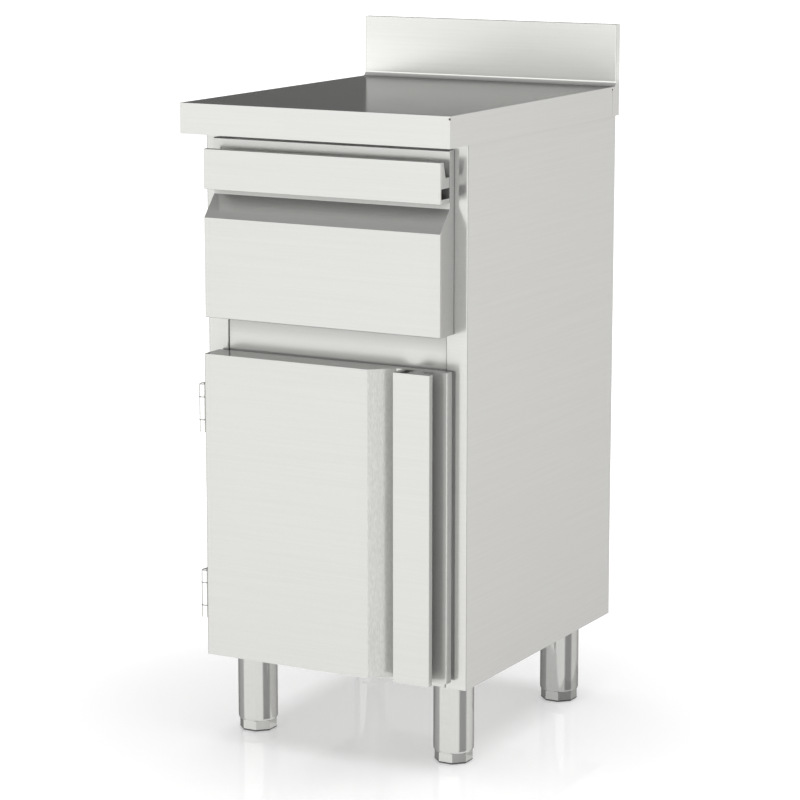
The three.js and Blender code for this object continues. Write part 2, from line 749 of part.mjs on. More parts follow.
// Hinges: a leaf on the stile with two knuckles, a leaf on the door's edge with one, and a pin
const hingeHalf = HINGE_HEIGHT / 2;
const hingeOut = HINGE_KNUCKLE_RADIUS + HINGE_DOOR_GAP;
const kneeHalf = hingeHalf - HINGE_END_KNUCKLE;
const hingeBore = HINGE_PIN_RADIUS + SEAT_GAP;
const hingeRelief = HINGE_KNUCKLE_RADIUS + RUN_GAP;
const boreCut = rod(hingeBore, [-HINGE_HEIGHT, HINGE_HEIGHT]);
const endSpans = [
  [-hingeHalf, -kneeHalf - RUN_GAP / 2],
  [kneeHalf + RUN_GAP / 2, hingeHalf],
];
const middleSpan = [RUN_GAP / 2 - kneeHalf, kneeHalf - RUN_GAP / 2];

function frameLeaf() {
  const stile = frameFront - SEAT_GAP - (doorBack - FRONT_DEPTH + HINGE_BACK);
  const web = [-HINGE_KNUCKLE_RADIUS, HINGE_LEAF - HINGE_KNUCKLE_RADIUS];
  const whole = [-hingeHalf, hingeHalf];
  const leaf = block(web, [0, stile], whole).add(
    block([web[0] - HINGE_FLANGE + HINGE_LEAF, web[1]], [stile - HINGE_LEAF, stile], whole),
  );
  const gap = rod(hingeRelief, [-kneeHalf - RUN_GAP / 2, kneeHalf + RUN_GAP / 2]);
  const knuckles = endSpans.map((span) => rod(HINGE_KNUCKLE_RADIUS, span));
  return leaf.subtract(gap).add(knuckles[0]).add(knuckles[1]).subtract(boreCut);
}

function doorLeaf() {
  const face = hingeOut - SEAT_GAP;
  const plate = block([face - HINGE_LEAF, face], [0, HINGE_DOOR_LEAF_DEPTH], [-hingeHalf, hingeHalf]);
  const upperGap = rod(hingeRelief, [kneeHalf - RUN_GAP / 2, HINGE_HEIGHT]);
  const lowerGap = rod(hingeRelief, [-HINGE_HEIGHT, RUN_GAP / 2 - kneeHalf]);
  const knuckle = rod(HINGE_KNUCKLE_RADIUS, middleSpan);
  return plate.subtract(upperGap).subtract(lowerGap).add(knuckle).subtract(boreCut);
}

function hingePin() {
  const seat = hingeHalf + SEAT_GAP;
  const head = rod(HINGE_PIN_HEAD, [seat, seat + HINGE_PIN_HEAD_HEIGHT]);
  return rod(HINGE_PIN_RADIUS, [-hingeHalf, seat + HINGE_PIN_HEAD_HEIGHT / 2]).add(head);
}

for (const [name, middle] of [
  ["upper", doorTop - HINGE_TOP_INSET - hingeHalf],
  ["lower", doorBottom + HINGE_BOTTOM_INSET + hingeHalf],
]) {
  const hinge = new THREE.Group();
  hinge.position.set(-frontSide - hingeOut, doorBack - FRONT_DEPTH + HINGE_BACK, middle);
  hinge.add(meshOf(`hinge_frame_leaf_${name}`, frameLeaf(), steel()));
  hinge.add(meshOf(`hinge_door_leaf_${name}`, doorLeaf(), steel()));
  hinge.add(meshOf(`hinge_pin_${name}`, hingePin(), steel()));
  station.add(hinge);
}

export default station;
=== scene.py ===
"""The looks of a waiter service station: steel, seals, fasteners, a studio floor, light and camera."""

import json
import math

import bmesh
import bpy
from mathutils import Matrix, Vector


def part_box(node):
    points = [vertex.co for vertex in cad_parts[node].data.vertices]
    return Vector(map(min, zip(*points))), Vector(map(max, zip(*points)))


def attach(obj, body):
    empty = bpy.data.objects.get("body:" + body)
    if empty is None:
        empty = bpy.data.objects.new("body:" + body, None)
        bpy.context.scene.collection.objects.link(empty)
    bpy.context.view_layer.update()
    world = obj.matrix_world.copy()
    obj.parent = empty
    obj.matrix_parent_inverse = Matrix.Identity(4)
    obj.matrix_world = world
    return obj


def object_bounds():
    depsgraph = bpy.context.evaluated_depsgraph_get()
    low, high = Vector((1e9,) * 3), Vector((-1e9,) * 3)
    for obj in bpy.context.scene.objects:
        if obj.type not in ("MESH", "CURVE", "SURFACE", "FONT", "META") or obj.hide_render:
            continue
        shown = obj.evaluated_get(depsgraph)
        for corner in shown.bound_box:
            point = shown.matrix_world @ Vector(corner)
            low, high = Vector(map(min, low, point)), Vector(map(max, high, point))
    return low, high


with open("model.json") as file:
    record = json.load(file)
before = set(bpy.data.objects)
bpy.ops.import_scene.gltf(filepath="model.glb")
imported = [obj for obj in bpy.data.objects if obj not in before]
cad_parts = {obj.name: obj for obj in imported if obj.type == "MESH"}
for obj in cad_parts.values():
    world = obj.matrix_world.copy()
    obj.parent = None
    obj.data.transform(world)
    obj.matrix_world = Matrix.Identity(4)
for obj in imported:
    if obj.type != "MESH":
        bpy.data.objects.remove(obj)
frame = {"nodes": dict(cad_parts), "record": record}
cad_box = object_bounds()
nodes = frame["nodes"]
scene = bpy.context.scene

# Lengths are in metres and angles in degrees

# Camera, from the photograph's perspective
CAMERA_PLACE = (2.2482, -4.1395, 1.4472)
CAMERA_AZIMUTH = 28.631
CAMERA_ELEVATION = 10.992
CAMERA_LENS = 132.58
CAMERA_SENSOR = 36
CAMERA_REACH = 300

# Studio: what polished steel mirrors, by the angle from +X, counter-clockwise from above.
# Each band starts at its edge, and has one level below the horizon and one above it.
BAND_EDGES = ((-151, "front"), (-30.5, "gap"), (14, "side"), (98, "rear"), (119, "left"))
BAND_SOFT = 9
LOW_BANDS = {"front": 1.48, "gap": 0.30, "side": 1.22, "rear": 1.22, "left": 0.53}
HIGH_BANDS = {"front": 2.0, "gap": 0.40, "side": 1.0, "rear": 0.24, "left": 0.22}
BAND_TINT = {
    "front": (1.0, 1.008, 0.98),
    "gap": (1.0, 1.0, 0.98),
    "side": (1.0, 0.99, 0.965),
    "rear": (1.0, 0.99, 0.965),
    "left": (1.0, 1.01, 0.985),
}
STUDIO_TINT = (1.0, 1.0, 0.985)
ZENITH = 0.5
NADIR = 1.35
DOME = 0.36
WHITE = (1.0, 1.0, 1.0)

# Heights of a mirrored direction, from -1 straight down to 1 straight up, between which the levels fade
NADIR_FADE = (-0.75, -0.45)
HORIZON_FADE = (-0.03, 0.08)
ZENITH_FADE = (0.14, 0.50)

# Floor: its finish, its painted glow by the distance from the object, dimmer near it as a painted shade, and
# a lamp that lights nothing else
FLOOR_HALF = 60
FLOOR_PARTS = 4
FLOOR_DROP = 0.0002
FLOOR_CLOUD = 0.7
FLOOR_TONES = ((0.90, 0.90, 0.905), (0.93, 0.93, 0.93))
FLOOR_ROUGHNESS = (0.03, 0.05)
FLOOR_IOR = 1.33
FLOOR_PAINTED_GLOW_REACH = (0.4, 1.7)
FLOOR_PAINTED_GLOW = (0.33, 1.0)
LAMP_PLACE = (0.3, 0.2, 4.5)
LAMP_SIZE = 5
LAMP_POWER = 160

# Shade card under the body: how much of what the legs mirror it lets through, and its outline
SHADE = 0.66
SHADE_SPREAD = 0.03
CARD_CLOUD = 3
CARD_FRONT = -0.14
CARD_BACK = 0.42
CARD_STEP = 0.10
CARD_DROP = 0.002

# Steels: smear lies across the brush lines, the worn-edge tone is partly wear and partly a painted highlight,
# graze the edge-on brightness
SHEET = {
    "colour": (0.60, 0.60, 0.59),
    "roughness": 0.17,
    "spread": 0.009,
    "smear": 0.75,
    "metal": 0.67,
    "wear_and_highlight": 1.02,
    "graze": 0.38,
}
HANDLE = {
    **SHEET,
    "colour": (0.59, 0.59, 0.58),
    "roughness": 0.18,
    "spread": 0.008,
    "smear": 0.7,
    # Handle rims: the lightest edge tone, mostly a painted highlight
    "wear_and_highlight": 1.65,
}
LEG = {
    "colour": (0.59, 0.59, 0.58),
    "roughness": 0.085,
    "spread": 0.012,
    "smear": 0.2,
    "metal": 0.58,
    "wear_and_highlight": 1.05,
    "graze": 0.15,
}
# Rear legs: the leg steel darker, a painted shade where they stand under the body
SHADED_REAR_LEG = {**LEG, "colour": (0.52, 0.52, 0.512)}
# Hinges: the steel is painted near white, a painted light that makes them look brightly lit
LIT_HINGE = {
    **SHEET,
    "colour": (0.98, 0.98, 0.97),
    "roughness": 0.30,
    "spread": 0.02,
    "smear": 0.2,
    "metal": 0.76,
}
STEEL_SPECULAR = 0.15
STEEL_CLOUD = 5
STEEL_CLOUD_SPAN = (0.35, 0.70)
STEEL_BUMP = (0.0015, 0.00012)
STREAK = 0.018

# Brush lines: how many a metre across and along them, and their detail
FINE_GRAIN = (900, 9, 2)
BROAD_GRAIN = (330, 4, 3)
SLANT_STRETCH = 4

# Values between which most of a noise lies
NOISE_SPAN = (0.3, 0.7)
GRAIN_SPAN = (0.25, 0.75)

# Worn edges, lighter on steel partly as wear and partly as a painted highlight: the radius that finds them,
# how much of them shows, and how far a normal turns there
STEEL_WEAR = 0.0011
STEEL_WEAR_AND_HIGHLIGHT = 0.8
ZINC_WEAR = 0.0009
ZINC_WORN = 0.6
MOULD_WEAR = 0.0012
MOULD_WORN = 0.4
WEAR_SAMPLES = 6
WEAR_TURN = (0.80, 0.995)
RIM_NORMALS = (0.82, 0.95)

# Zinc plate: the size of its crystals, and how they vary
ZINC_COLOUR = (0.60, 0.61, 0.62)
SPANGLE_SCALE = 160
SPANGLE_TONES = (0.92, 1.06)
SPANGLE_ROUGHNESS = (0.27, 0.40)
ZINC_POLISH = 1.2
ZINC_SKIN = 600
ZINC_BUMP = (0.08, 0.0002)

# Rubber and plastic: how the tone and roughness of their moulded skin vary
MOULD_CLOUD = 14
MOULD_TONES = (0.88, 1.10)
MOULD_POLISH = 1.7
MOULD_SPREAD = 0.08
MOULD_DEPTH = 0.0003
RUBBER = {"colour": (0.55, 0.55, 0.545), "roughness": 0.72, "skin_scale": 900, "strength": 0.25}
PLASTIC = {"colour": (0.035, 0.035, 0.038), "roughness": 0.5, "skin_scale": 1400, "strength": 0.2}

# Parts of a normal from which a face counts as slanted, and as square to an axis
SLANTED = 0.3
SQUARE = 0.9

# Contact shade: how far it reaches, and how much of the tone it takes from each kind of sheet
CONTACT_REACH = 0.035
CONTACT_SAMPLES = 8
CONTACT_SHARE = 0.26
DECK_CONTACT = 0.10
PANEL_CONTACT = 0.10
OVERHANG_SHARE = 0.6
OVERHANG_OPEN = 0.76
OVERHANG_VIEW = {"Y": -0.6, "Z": 0.8}

# The worktop: its level face is painted darker than its upstand, whose painted light is brightest at its
# foot, and the cove gets a painted highlight
UPSTAND_FOOT = 1.045
UPSTAND_FADE = 0.015
UPSTAND_TOP = 1.12
UPSTAND_LOW_LIGHT = 1.30
UPSTAND_HIGH_LIGHT = 1.17
DECK_SHADE = 0.68
DECK_NORMALS = (0.7, 0.95)
COVE_HIGHLIGHT = 1.2
COVE_FRONT = 0.27
COVE_FADE = 0.03
COVE_FOOT_HIGHLIGHT = 1.22
COVE_NORMALS = (0.05, 0.97)

# The folded fronts: painted light and shade for each kind of face, and the coarse upright grain of the door's
# slant
FRONT_FACE_SHADE = 0.945
FRONT_SIDE_LIGHT = 1.04
FRONT_TOP_LIGHT = 1.13
LEVEL_SLANT_SHADE = 0.82
UPRIGHT_SLANT_SHADE = 0.97
SLANT_GRAIN = 0.09
SLANT_SCALE = (560, 560, 130)

# The handles: their backs are painted brighter, a painted light in the finger pockets
HANDLE_BACK_LIGHT = 1.6
HANDLE_BACK_NORMALS = (0.5, 0.8)

# Rounding of the sheet edges
WELD_REACH = 1e-6
FLAT_ANGLE = 0.4
EDGE_WIDTH = 0.00045
HANDLE_EDGE = 0.0013
EDGE_SEGMENTS = 2
EDGE_ANGLE = 40
SMOOTH_ANGLE = 35

# Fasteners: each ring's radius and height in head radii, and its sides where it is flat-sided
RIVET = ((1, 0), (1, 0.12), (0.86, 0.30), (0.62, 0.42), (0.36, 0.46), (0.30, 0.20), (0.12, 0.24))
RIVET_STEPS = 20
SCREW = ((1, 0), (1, 0.10), (0.93, 0.28), (0.76, 0.42), (0.56, 0.47), (0.50, 0.47, 6), (0.47, 0.16, 6))
SCREW_STEPS = 24
RING_STEPS = 32

# Rivets down the rear edges of the side panels, and of the runners inside the drawer box
REAR_RIVET_RADIUS = 0.0036
REAR_RIVET_INSET = 0.010
REAR_RIVET_START = 0.035
REAR_RIVET_PITCH = 0.1185
REAR_RIVET_COUNT = 8
RUNNER_RIVET_RADIUS = 0.0034
RUNNER_RIVET_PLACES = (0.045, 0.19, 0.335, 0.43)
DRAWER_SHEET = 0.0012

# Hinges: the end knuckles start at the split, measured from the middle, and carry the washers
KNUCKLE_RADIUS = 0.007
KNUCKLE_SPLIT = 0.0182
WASHER_CLEAR = 0.00002
WASHER_PROUD = 0.00028
WASHER_HEIGHT = 0.0008
LEAF_SHEET = 0.0025
SCREW_RADIUS = 0.0033
SCREW_INSET = 0.0055
SCREW_PITCH = 0.024

# Dark soles of the feet, a painted contact shadow: each ring's radius beyond the foot's corners, and its
# height
FOOT_SIDES = 8
FOOT_SHADOW_PROUD = 0.00015
FOOT_SHADOW_RINGS = (
    (-0.0030, 0.0),
    (FOOT_SHADOW_PROUD - 0.0014, 0.0),
    (FOOT_SHADOW_PROUD, 0.0016),
    (FOOT_SHADOW_PROUD, 0.0027),
    (-0.0002, 0.0028),
)

# The strip on the door's top: its clearances, thickness, fold and turned-down lip
TRIM_END = 0.0015
TRIM_CLEAR = 0.0008
TRIM_DROP = 0.0006
TRIM_BACK = 0.0002
TRIM_SHEET = 0.0012
TRIM_FOLD = 0.0010
TRIM_FOLD_MIDDLE = 0.0003
TRIM_LIP = 0.0036


def add(tree, kind, **values):
    node = tree.nodes.new(kind)
    for key, value in values.items():
        setattr(node, key, value)
    return node


def math_node(tree, operation, first, second=None):
    node = add(tree, "ShaderNodeMath", operation=operation)
    for socket, value in zip(node.inputs, (first, second)):
        if isinstance(value, bpy.types.NodeSocket):
            tree.links.new(value, socket)
        elif value is not None:
            socket.default_value = value
    return node.outputs[0]


def map_range(tree, value, source, target):
    node = add(tree, "ShaderNodeMapRange", interpolation_type="SMOOTHSTEP")
    tree.links.new(value, node.inputs["Value"])
    for socket, number in zip(("From Min", "From Max", "To Min", "To Max"), (*source, *target)):
        node.inputs[socket].default_value = number
    return node.outputs["Result"]


def mix_colour(tree, factor, first, second):
    node = add(tree, "ShaderNodeMix", data_type="RGBA")
    for name, value in (("Factor", factor), ("A", first), ("B", second)):
        socket = next(s for s in node.inputs if s.name == name and s.enabled)
        if isinstance(value, bpy.types.NodeSocket):
            tree.links.new(value, socket)
        else:
            socket.default_value = (*value, 1)
    return next(s for s in node.outputs if s.enabled)


def ramp(tree, value, stops):
    """Colours along a value, from a list of (place, colour)."""
    node = add(tree, "ShaderNodeValToRGB")
    tree.links.new(value, node.inputs["Fac"])
    elements = node.color_ramp.elements
    while len(elements) < len(stops):
        elements.new(0.5)
    for element, (place, colour) in zip(elements, stops):
        element.position = place
        element.color = (*colour, 1)
    return node.outputs["Color"]


def two_tones(tree, value, span, colours):
    """From one colour to another as a value runs through a span."""
    return ramp(tree, value, list(zip(span, colours)))


def scaled(colour, share):
    return tuple(c * share for c in colour)


def tone(colour, share):
    """A lighter or darker colour, no brighter than white."""
    return tuple(min(1, c) for c in scaled(colour, share))


def tones(colour, shares):
    return [tone(colour, share) for share in shares]


def new_material(name):
    material = bpy.data.materials.new(name)
    material.use_nodes = True
    return material, material.node_tree, material.node_tree.nodes["Principled BSDF"]


def parts_of(tree, output):
    """X, Y and Z of a texture coordinate: Object is a point's place at rest, Normal the way a face looks."""
    place = add(tree, "ShaderNodeTexCoord")
    parts = add(tree, "ShaderNodeSeparateXYZ")
    tree.links.new(place.outputs[output], parts.inputs[0])
    return parts.outputs


def noise(tree, scale, detail):
    """Noise in the object's own coordinates, stretched by a scale for each axis."""
    place = add(tree, "ShaderNodeTexCoord")
    mapping = add(tree, "ShaderNodeMapping")
    mapping.inputs["Scale"].default_value = scale
    texture = add(tree, "ShaderNodeTexNoise")
    texture.inputs["Scale"].default_value = 1
    texture.inputs["Detail"].default_value = detail
    tree.links.new(place.outputs["Object"], mapping.inputs["Vector"])
    tree.links.new(mapping.outputs["Vector"], texture.inputs["Vector"])
    return texture.outputs["Fac"]


def edge_mask(tree, radius):
    """One along worn edges, nought on the flats."""
    bevel = add(tree, "ShaderNodeBevel", samples=WEAR_SAMPLES)
    bevel.inputs["Radius"].default_value = radius
    geometry = add(tree, "ShaderNodeNewGeometry")
    dot = add(tree, "ShaderNodeVectorMath", operation="DOT_PRODUCT")
    tree.links.new(bevel.outputs["Normal"], dot.inputs[0])
    tree.links.new(geometry.outputs["Normal"], dot.inputs[1])
    return map_range(tree, dot.outputs["Value"], WEAR_TURN, (1, 0))


def rim_mask(tree):
    """One on the rounded rims of a piece whose faces lie square to the axes."""
    normal = parts_of(tree, "Normal")
    x, y, z = [math_node(tree, "ABSOLUTE", normal[axis]) for axis in "XYZ"]
    most = math_node(tree, "MAXIMUM", math_node(tree, "MAXIMUM", x, y), z)
    return map_range(tree, most, RIM_NORMALS, (1, 0))


def worn_over(tree, worn, share, base, colour):
    """A colour laid over a base where a mask says that it is worn."""
    return mix_colour(tree, math_node(tree, "MULTIPLY", worn, share), base, colour)


def bump(tree, shader, height, strength, distance):
    node = add(tree, "ShaderNodeBump")
    node.inputs["Strength"].default_value = strength
    node.inputs["Distance"].default_value = distance
    tree.links.new(height, node.inputs["Height"])
    tree.links.new(node.outputs["Normal"], shader.inputs["Normal"])


def between(tree, value, low, high):
    above = math_node(tree, "GREATER_THAN", value, low)
    return math_node(tree, "MULTIPLY", above, math_node(tree, "LESS_THAN", value, high))


def grain(tree, fine, long, detail):
    """Brush lines: along X, along Y on faces that look sideways, and upright on slanted faces."""
    sideways = math_node(tree, "ABSOLUTE", parts_of(tree, "Normal")["X"])
    on_sides = math_node(tree, "GREATER_THAN", sideways, SQUARE)
    on_slants = math_node(tree, "GREATER_THAN", sideways, SLANTED)
    along_x = noise(tree, (long, fine, fine), detail)
    along_y = noise(tree, (fine, long, fine), detail)
    along_z = noise(tree, (fine, fine, long * SLANT_STRETCH), detail)
    slanted = math_node(tree, "MULTIPLY", on_slants, math_node(tree, "SUBTRACT", along_z, along_x))
    sided = math_node(tree, "MULTIPLY", on_sides, math_node(tree, "SUBTRACT", along_y, along_z))
    return math_node(tree, "ADD", math_node(tree, "ADD", along_x, slanted), sided)


def brush_direction(tree):
    """Across the brush lines, where the steel smears what it mirrors: along X on slanted faces, front to back
    on level ones, and upright on all others."""
    normal = parts_of(tree, "Normal")
    level = math_node(tree, "GREATER_THAN", math_node(tree, "ABSOLUTE", normal["Z"]), SQUARE)
    slanted = between(tree, math_node(tree, "ABSOLUTE", normal["X"]), SLANTED, SQUARE)
    upright = math_node(tree, "SUBTRACT", math_node(tree, "SUBTRACT", 1.0, level), slanted)
    across = add(tree, "ShaderNodeCombineXYZ")
    for socket, value in zip(across.inputs, (slanted, level, upright)):
        tree.links.new(value, socket)
    turn = add(
        tree, "ShaderNodeVectorTransform", vector_type="VECTOR", convert_from="OBJECT", convert_to="WORLD"
    )
    tree.links.new(across.outputs[0], turn.inputs[0])
    return turn.outputs[0]


def near_faces(tree):
    near = add(tree, "ShaderNodeAmbientOcclusion", samples=CONTACT_SAMPLES)
    near.inputs["Distance"].default_value = CONTACT_REACH
    return near


def changed(tree, mask, change):
    """A share of one plus a change where a mask is one."""
    return math_node(tree, "ADD", math_node(tree, "MULTIPLY", mask, change), 1.0)


def product(tree, first, shares):
    for share in shares:
        first = math_node(tree, "MULTIPLY", first, share)
    return first


def contact(tree, share=CONTACT_SHARE):
    """Less than one where another face is close by."""
    shade = math_node(tree, "MULTIPLY", near_faces(tree).outputs["AO"], share)
    return math_node(tree, "ADD", shade, 1 - share)


def panel(tree):
    """Contact shade of the side panels, whose stiles mirror the fronts."""
    return contact(tree, PANEL_CONTACT)


def overhang(tree):
    """Shade from what hangs over a face, but not from what stands below it. The raised view that finds it is
    partly blocked by an upright face itself, and OVERHANG_OPEN is what is left of it there."""
    near = near_faces(tree)
    view = add(tree, "ShaderNodeCombineXYZ")
    for axis, value in OVERHANG_VIEW.items():
        view.inputs[axis].default_value = value
    tree.links.new(view.outputs[0], near.inputs["Normal"])
    shade = math_node(tree, "MULTIPLY", near.outputs["AO"], OVERHANG_SHARE)
    return math_node(tree, "ADD", shade, 1 - OVERHANG_SHARE * OVERHANG_OPEN)


def front(tree):
    """Shade from overhangs, with painted light and shade for each kind of face and a coarse grain on the
    upright slant.
    """
    normal = parts_of(tree, "Normal")
    coarse = noise(tree, SLANT_SCALE, detail=2)
    grained = map_range(
        tree, coarse, GRAIN_SPAN, (UPRIGHT_SLANT_SHADE - SLANT_GRAIN - 1, UPRIGHT_SLANT_SHADE + SLANT_GRAIN - 1)
    )
    # Painted light and shade by the way a face looks: fronts and slants darker, sides and tops lighter
    changes = (
        (between(tree, math_node(tree, "ABSOLUTE", normal["X"]), SLANTED, SQUARE), grained),
        (math_node(tree, "LESS_THAN", normal["Y"], -SQUARE), FRONT_FACE_SHADE - 1),
        (between(tree, normal["Z"], SLANTED, SQUARE), LEVEL_SLANT_SHADE - 1),
        (math_node(tree, "GREATER_THAN", normal["X"], SQUARE), FRONT_SIDE_LIGHT - 1),
        (math_node(tree, "GREATER_THAN", normal["Z"], SQUARE), FRONT_TOP_LIGHT - 1),
    )
    return product(tree, overhang(tree), [changed(tree, mask, change) for mask, change in changes])


def handle_painted_light(tree):
    """A back painted brighter, as painted light for the finger pockets."""
    return map_range(tree, parts_of(tree, "Normal")["Y"], HANDLE_BACK_NORMALS, (1, HANDLE_BACK_LIGHT))


def worktop_painted_light(tree):
    """Contact shade, with painted shade on the level face, painted light on the upstand and a painted
    highlight on the cove between them.
    """
    point = parts_of(tree, "Object")
    normal = parts_of(tree, "Normal")
    behind = math_node(tree, "GREATER_THAN", point["Y"], COVE_FRONT)
    curved = math_node(tree, "MULTIPLY", behind, between(tree, normal["Z"], *COVE_NORMALS))
    level = map_range(tree, normal["Z"], DECK_NORMALS, (0, 1))
    foot_span = (COVE_FRONT - COVE_FADE, COVE_FRONT)
    foot = map_range(tree, point["Y"], foot_span, (DECK_SHADE - 1, COVE_FOOT_HIGHLIGHT - 1))
    shares = (
        changed(tree, level, foot),
        map_range(tree, point["Z"], (UPSTAND_FOOT - UPSTAND_FADE, UPSTAND_FOOT), (1, UPSTAND_LOW_LIGHT)),
        map_range(tree, point["Z"], (UPSTAND_FOOT, UPSTAND_TOP), (1, UPSTAND_HIGH_LIGHT / UPSTAND_LOW_LIGHT)),
        changed(tree, curved, COVE_HIGHLIGHT - 1),
    )
    return product(tree, contact(tree, DECK_CONTACT), shares)


def brushed_steel(name, colour, roughness, spread, smear, metal, wear_and_highlight, graze, rims=False, share=None):
    """Brushed steel. Its worn edges are lighter, partly wear and partly a painted highlight; rims says that
    they are rounded rims, and share makes the painted shade and light on it.
    """
    material, tree, shader = new_material(name)
    shader.inputs["Metallic"].default_value = metal
    shader.inputs["Anisotropic"].default_value = smear
    tree.links.new(brush_direction(tree), shader.inputs["Tangent"])
    shader.inputs["Specular IOR Level"].default_value = STEEL_SPECULAR
    shader.inputs["Specular Tint"].default_value = (graze, graze, graze, 1)
    fine = grain(tree, *FINE_GRAIN)
    broad = grain(tree, *BROAD_GRAIN)
    cloud = noise(tree, (STEEL_CLOUD,) * 3, detail=3)
    worn = rim_mask(tree) if rims else edge_mask(tree, STEEL_WEAR)
    streaks = two_tones(tree, broad, NOISE_SPAN, tones(colour, (1 - STREAK, 1 + STREAK)))
    # Lighter worn edges: partly wear, partly a painted highlight
    base = worn_over(tree, worn, STEEL_WEAR_AND_HIGHLIGHT, streaks, tone(colour, wear_and_highlight))
    # Painted shade and light, multiplied into the colour
    if share:
        shaded = add(tree, "ShaderNodeVectorMath", operation="SCALE")
        tree.links.new(base, shaded.inputs[0])
        tree.links.new(share(tree), shaded.inputs["Scale"])
        base = shaded.outputs[0]
    tree.links.new(base, shader.inputs["Base Color"])
    brushed = map_range(tree, fine, GRAIN_SPAN, (roughness - spread, roughness + spread))
    handled = map_range(tree, cloud, STEEL_CLOUD_SPAN, (-spread / 2, spread / 2))
    polished = math_node(tree, "MULTIPLY", worn, -spread)
    rough = math_node(tree, "ADD", math_node(tree, "ADD", brushed, handled), polished)
    tree.links.new(rough, shader.inputs["Roughness"])
    bump(tree, shader, fine, *STEEL_BUMP)
    return material


def zinc_plate(name, colour):
    """Zinc, in crystals of slightly different tone and gloss."""
    material, tree, shader = new_material(name)
    shader.inputs["Metallic"].default_value = 1
    place = add(tree, "ShaderNodeTexCoord")
    spangle = add(tree, "ShaderNodeTexVoronoi")
    spangle.inputs["Scale"].default_value = SPANGLE_SCALE
    tree.links.new(place.outputs["Object"], spangle.inputs["Vector"])
    parts = add(tree, "ShaderNodeSeparateColor")
    tree.links.new(spangle.outputs["Color"], parts.inputs[0])
    worn = edge_mask(tree, ZINC_WEAR)
    crystals = two_tones(tree, parts.outputs[0], (0.0, 1.0), tones(colour, SPANGLE_TONES))
    base = worn_over(tree, worn, ZINC_WORN, crystals, tone(colour, ZINC_POLISH))
    tree.links.new(base, shader.inputs["Base Color"])
    rough = map_range(tree, parts.outputs[1], (0, 1), SPANGLE_ROUGHNESS)
    tree.links.new(rough, shader.inputs["Roughness"])
    bump(tree, shader, noise(tree, (ZINC_SKIN,) * 3, detail=3), *ZINC_BUMP)
    return material


def moulded(name, colour, roughness, skin_scale, strength):
    """Rubber or plastic with a fine moulded skin."""
    material, tree, shader = new_material(name)
    cloud = noise(tree, (MOULD_CLOUD,) * 3, detail=4)
    skin = noise(tree, (skin_scale,) * 3, detail=4)
    worn = edge_mask(tree, MOULD_WEAR)
    clouded = two_tones(tree, cloud, NOISE_SPAN, tones(colour, MOULD_TONES))
    base = worn_over(tree, worn, MOULD_WORN, clouded, tone(colour, MOULD_POLISH))
    tree.links.new(base, shader.inputs["Base Color"])
    rough = map_range(tree, skin, NOISE_SPAN, (roughness - MOULD_SPREAD, roughness + MOULD_SPREAD))
    tree.links.new(rough, shader.inputs["Roughness"])
    bump(tree, shader, skin, strength, MOULD_DEPTH)
    return material


# The record's slots, and for some nodes copies of the steel with painted light and shade of their own
MATERIALS = {
    "stainless": brushed_steel("brushed_stainless", **SHEET, share=contact),
    "worktop_steel": brushed_steel("worktop_stainless", **SHEET, share=worktop_painted_light),
    "front_steel": brushed_steel("front_stainless", **SHEET, share=front),
    "panel_steel": brushed_steel("panel_stainless", **SHEET, share=panel),
    "rail_steel": brushed_steel("rail_stainless", **SHEET, share=overhang),
    "handle_steel": brushed_steel("handle_stainless", **HANDLE, rims=True, share=handle_painted_light),
    "leg_steel": brushed_steel("leg_stainless", **LEG),
    "rear_leg_painted_shade": brushed_steel("rear_leg_stainless_painted_shade", **SHADED_REAR_LEG),
    "hinge_steel_painted_light": brushed_steel("hinge_stainless_painted_light", **LIT_HINGE),
    "zinc_plated": zinc_plate("zinc_plate", ZINC_COLOUR),
    "gasket_rubber": moulded("gasket_rubber", **RUBBER),
    "insert_plastic": moulded("insert_plastic", **PLASTIC),
}
REAR_LEG_NAMES = ("leg_tube_rear_", "foot_rear_")
LOOK_OF = {name: "hinge_steel_painted_light" for name in nodes if name.startswith("hinge_")}
# Rear legs get the darker steel, a painted shade under the body
LOOK_OF.update({name: "rear_leg_painted_shade" for name in nodes if name.startswith(REAR_LEG_NAMES)})
LOOK_OF.update(
    middle_rail="rail_steel",
    left_side_panel="panel_steel",
    right_side_panel="panel_steel",
    worktop="worktop_steel",
    door_skin="front_steel",
    drawer_front_skin="front_steel",
)
SLOT_OF = {part["node"]: part["material_slot"] for part in frame["record"]["subparts"]}


def smooth_group():
    """Smooth shading, kept sharp where two faces meet at more than a set angle."""
    group = bpy.data.node_groups.new("smooth_by_angle", "GeometryNodeTree")
    for direction in ("INPUT", "OUTPUT"):
        group.interface.new_socket("Geometry", in_out=direction, socket_type="NodeSocketGeometry")
    start = add(group, "NodeGroupInput")
    end = add(group, "NodeGroupOutput")
    faces = add(group, "GeometryNodeSetShadeSmooth", domain="FACE")
    edges = add(group, "GeometryNodeSetShadeSmooth", domain="EDGE")
    edges.inputs["Shade Smooth"].default_value = False
    angle = add(group, "GeometryNodeInputMeshEdgeAngle")
    compare = add(group, "FunctionNodeCompare", data_type="FLOAT", operation="GREATER_THAN")
    compare.inputs[1].default_value = math.radians(SMOOTH_ANGLE)
    group.links.new(start.outputs[0], faces.inputs["Geometry"])
    group.links.new(faces.outputs["Geometry"], edges.inputs["Geometry"])
    group.links.new(angle.outputs["Unsigned Angle"], compare.inputs[0])
    group.links.new(compare.outputs["Result"], edges.inputs["Selection"])
    group.links.new(edges.outputs["Geometry"], end.inputs[0])
    return group


SMOOTH = smooth_group()


def smooth_folds(obj):
    smooth = obj.modifiers.new("smooth", "NODES")
    smooth.node_group = SMOOTH


